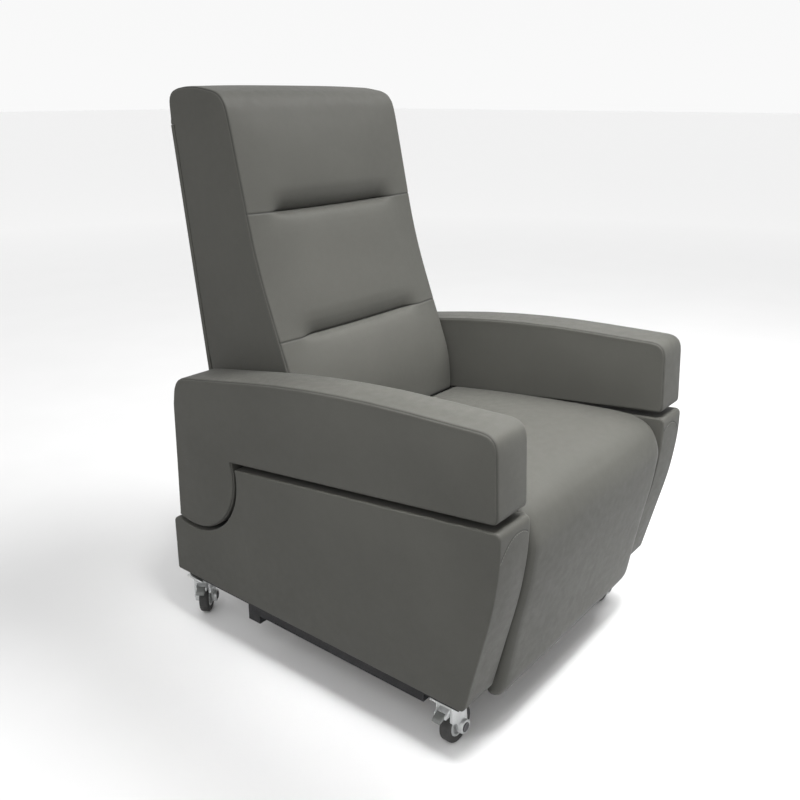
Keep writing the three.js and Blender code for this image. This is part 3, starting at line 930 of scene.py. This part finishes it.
def add_back():
    low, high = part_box("back_cushion")
    half = high[0]
    side_view = section(NODES["back_cushion"].data, half - 4 * MM)
    cover = SewnCover(resample(side_view, back_step), low[0], high[0], back_rounding, 11 * MM, 13 * MM)
    block = solid_from_outline("back_foam", side_view, low[0], high[0])

    def distance(points):
        share = np.abs(points[:, 0]) / half
        away = cover.seam_distance(points)
        beyond = np.maximum(share - TUFT_SHARE, 0) * half
        for height in CREASE_HEIGHTS:
            crease = np.hypot(points[:, 2] - height, beyond) + 0.5 * (points[:, 1] > 0.31)
            away = np.minimum(away, crease)
        return away

    foam = Foam("back_foam", block, distance, 20 * MM)
    piece = cover.sewn("back_cover", foam, back_give)
    foam.discard()
    rest = np.array(cover.points)
    _, rearward, upward = point_normals_of(cover).T
    front = smoothstep(-rearward, 0.3, 0.8)
    under_step = smoothstep(-upward, 0.5, 0.9) * (rest[:, 2] > REAR_STEP - 20 * MM)
    inward = np.array([0.0, 1.0, -0.1])
    moved = mesh_points(piece) + (drawn_in(rest, half, front))[:, None] * inward
    moved[:, 2] -= crease_sag(rest, half, front)
    moved[:, 1] += COVER_INSET * smoothstep(rearward, 0.5, 0.9)
    moved[:, 2] -= COVER_INSET * under_step
    set_points(piece, moved)
    darken_creases(piece, rest, half)
    shade_smooth(piece)
    finish_piece(piece, "back", "vinyl", "back_cushion", fill=0.85)


def point_normals_of(cover):
    """The unswollen cover's normals."""
    plain = new_object("plain", cover.points, cover.faces)
    result = point_normals(plain)
    bpy.data.objects.remove(plain, do_unlink=True)
    return result


# Painted shade: faces along the creases of the back's front get the dark seam shade material.
def darken_creases(piece, rest, half):
    for polygon in piece.data.polygons:
        x, y, z = rest[list(polygon.vertices)].mean(axis=0)
        share = abs(x) / half
        if share > 0.985 or y > 0.30:
            continue
        for height in CREASE_HEIGHTS:
            if abs(z - height) < 0.9 * MM:
                polygon.material_index = 1


def solid_from_outline(name, outline, x0, x1):
    count = len(outline)
    points = [(x0, y, z) for y, z in outline] + [(x1, y, z) for y, z in outline]
    faces = [tuple(range(count))[::-1], tuple(range(count, 2 * count))]
    faces += [(i, (i + 1) % count, count + (i + 1) % count, count + i) for i in range(count)]
    obj = new_object(name, points, faces)
    face_outward(obj)
    return obj


# ---- seat and legrest: one cover over the front edge ---------------------------------------------

SEAT_NODES = ("seat_cushion", "waterfall_pad", "legrest_pad")


def seat_give(points, normals):
    """The seat crowns upward and forward, and stays flat on its deck and on the legrest board."""
    top = smoothstep(normals[:, 2], 0.3, 0.8)
    front = smoothstep(-normals[:, 1], 0.3, 0.8)
    side = smoothstep(np.abs(normals[:, 0]), 0.6, 0.9)
    clear_of_back = 1 - smoothstep(points[:, 1], -0.02, 0.07)
    return np.maximum(np.maximum(top * clear_of_back, 0.55 * front), 0.1 * side)


def add_seat():
    low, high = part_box("seat_cushion")
    low_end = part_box("legrest_pad")[0][2]
    joined = welded_copy("seat_outline", *SEAT_NODES)
    remesh = joined.modifiers.new("remesh", "REMESH")
    remesh.mode = "VOXEL"
    remesh.voxel_size = 4 * MM
    apply_modifiers(joined)
    plain = resample(section(joined.data, 1 * MM), lambda place: 6 * MM)
    bottom = 1 - smoothstep(plain[:, 1:], low_end + 20 * MM, low_end + 60 * MM)
    side_view = (1 - bottom) * rounded(plain, 4) + bottom * rounded(plain, 16)
    bpy.data.objects.remove(joined, do_unlink=True)
    cover = SewnCover(side_view, low[0], high[0], lambda place: 20 * MM, 10 * MM, 12 * MM)
    foam = Foam("seat_foam", welded_copy("seat_foam", *SEAT_NODES), cover.seam_distance, 24 * MM)
    piece = cover.sewn("seat_and_legrest_cover", foam, seat_give, seams=False)
    foam.discard()
    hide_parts(*SEAT_NODES)
    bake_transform(piece)


# ---- flat upholstered panels -------------------------------------------------------------------

BORDER = 9 * MM                 # from a panel's edge to its topstitching
BORDER_POINTS = 40              # on each side of the panel


def soft_panel(node, name, edge):
    obj = welded_copy(name, node)
    bevel = obj.modifiers.new("edge", "BEVEL")
    bevel.width = edge
    bevel.segments = 3
    bevel.limit_method = "ANGLE"
    apply_modifiers(obj)
    shade_smooth(obj, 40)
    obj.data.materials.clear()
    obj.data.materials.append(MATERIALS["vinyl"])
    finish_piece(obj, BODY_OF[node], "vinyl", node)
    border_stitches(obj, node)


def border_stitches(panel, node):
    """Topstitching round the outer face of a panel at the rear."""
    (left, _, bottom), (right, rear, top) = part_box(node)
    x0, x1, z0, z1 = left + BORDER, right - BORDER, bottom + BORDER, top - BORDER
    corners = [(x0, z0), (x1, z0), (x1, z1), (x0, z1), (x0, z0)]
    places = []
    for (xa, za), (xb, zb) in zip(corners, corners[1:]):
        for share in np.linspace(0, 1, BORDER_POINTS, endpoint=False):
            places.append(Vector((xa + (xb - xa) * share, rear + 0.1, za + (zb - za) * share)))
    row = stitches(f"{node}_stitches", laid_on(panel, places, Vector((0, -1, 0))))
    finish_piece(row, BODY_OF[node], "vinyl")


# ---- rigid pieces ------------------------------------------------------------------------------

def crisp_piece(node, edge=0.8 * MM):
    """The CAD solid with its edges broken, in its own finish."""
    obj = welded_copy(f"{node}_finished", node)
    solid = bmesh.new()
    solid.from_mesh(obj.data)
    bmesh.ops.dissolve_limit(solid, angle_limit=math.radians(1), verts=solid.verts, edges=solid.edges)
    solid.to_mesh(obj.data)
    solid.free()
    bevel = obj.modifiers.new("edge", "BEVEL")
    bevel.width = edge
    bevel.segments = 2
    bevel.limit_method = "ANGLE"
    bevel.angle_limit = math.radians(35)
    apply_modifiers(obj)
    shade_smooth(obj, 30)
    slot = SUBPARTS[node]
    obj.data.materials.clear()
    obj.data.materials.append(MATERIALS[slot])
    finish_piece(obj, BODY_OF[node], slot, node)


def add_rigid_pieces():
    made_elsewhere = ("vinyl", "tyre", "hub_plastic")
    for node, slot in SUBPARTS.items():
        if slot not in made_elsewhere:
            crisp_piece(node)


# ---- caster wheels -----------------------------------------------------------------------------

def lathe(name, profile, centre, axis, material, steps=64):
    """A ring turned from closed (along, radius) corners about an axis through centre."""
    turn = Vector(axis).to_track_quat("Z", "Y").to_matrix()
    count = len(profile)
    points = []
    for k in range(steps):
        angle = 2 * math.pi * k / steps
        for along, radius in profile:
            local = Vector((radius * math.cos(angle), radius * math.sin(angle), along))
            points.append(Vector(centre) + turn @ local)
    faces = []
    for k in range(steps):
        for i in range(count):
            a, b = k * count + i, k * count + (i + 1) % count
            following = (k + 1) % steps * count
            faces.append((a, b, following + (i + 1) % count, following + i))
    obj = new_object(name, points, faces)
    face_outward(obj)
    shade_smooth(obj, 35)
    obj.data.materials.append(material)
    return obj


def rounded_tread(half, radius, bead):
    """Tyre profile: flat sidewalls, round shoulders, a nearly flat tread."""
    shoulder = 4.5 * MM
    arc = [(half - shoulder + shoulder * math.sin(a), radius - shoulder + shoulder * math.cos(a))
           for a in (math.pi / 2 * (1 - k / 6) for k in range(7))]
    near = [(half - 1.5 * MM, bead)] + arc
    return near + mirror_profile(near)


def mirror_profile(profile):
    """The other half of a profile that is the same on both sides of the wheel's middle."""
    return [(-along, radius) for along, radius in reversed(profile)]


BOSS_END = 24.6 * MM            # from the wheel's middle to the face of the fork's boss
TYRE_HALF_WIDTH, BEAD_RADIUS = 11 * MM, 25 * MM

# Corners as places along the axle and radii: half of the hub, from its bead to its bore, and the axle's cap.
RIM_HALF = [
    (9 * MM, 24.7 * MM), (10.4 * MM, 23 * MM), (10.4 * MM, 20.5 * MM), (6 * MM, 19 * MM),
    (5 * MM, 13 * MM), (9.5 * MM, 11 * MM), (10.5 * MM, 10 * MM), (10.5 * MM, 5.4 * MM),
]
AXLE_CAP = [
    (0, 0.1 * MM), (0, 9.5 * MM), (1.2 * MM, 9.5 * MM), (2.0 * MM, 8 * MM),
    (0.8 * MM, 5.5 * MM), (0.8 * MM, 0.1 * MM),
]


def add_caster_wheel(name):
    roll = JOINTS[f"roll_{name}"]
    centre, axis = Vector(roll["pos_m"]), Vector(roll["axis"])
    wheel = f"wheel_{name}"
    tread = rounded_tread(TYRE_HALF_WIDTH, centre.z, BEAD_RADIUS)
    tyre = lathe(f"tyre_{name}", tread, centre, axis, MATERIALS["tyre"])
    finish_piece(tyre, wheel, "tyre", f"caster_tyre_{name}")
    rim = RIM_HALF + mirror_profile(RIM_HALF)
    hub = lathe(f"hub_{name}", rim, centre, axis, MATERIALS["hub_plastic"])
    finish_piece(hub, wheel, "hub_plastic", f"caster_hub_{name}")
    for side, end in (("a", 1), ("b", -1)):
        seat = centre + axis * (end * BOSS_END)
        cap = lathe(f"axle_cap_{side}_{name}", AXLE_CAP, seat, axis * end, MATERIALS["cap_plastic"], 40)
        finish_piece(cap, f"fork_{name}", "pedal_plastic")


# ---- the chair ---------------------------------------------------------------------------------

add_camera()
add_studio()
add_floor()
boxed_pair("arm", 7 * MM, arm_give, 5 * MM, "arm_{}", seams=True)
panels = boxed_pair("side_panel", 6 * MM, panel_give, 3.5 * MM, "base", seams=False)
for side in SIDES:
    arched_seam(side, panels[side])
add_back()
add_seat()
soft_panel("back_rear_cover", "back_rear_cover_upholstery", 1.6 * MM)
soft_panel("rear_panel", "rear_panel_upholstery", 2.5 * MM)
add_rigid_pieces()
for caster in CASTERS:
    add_caster_wheel(caster)
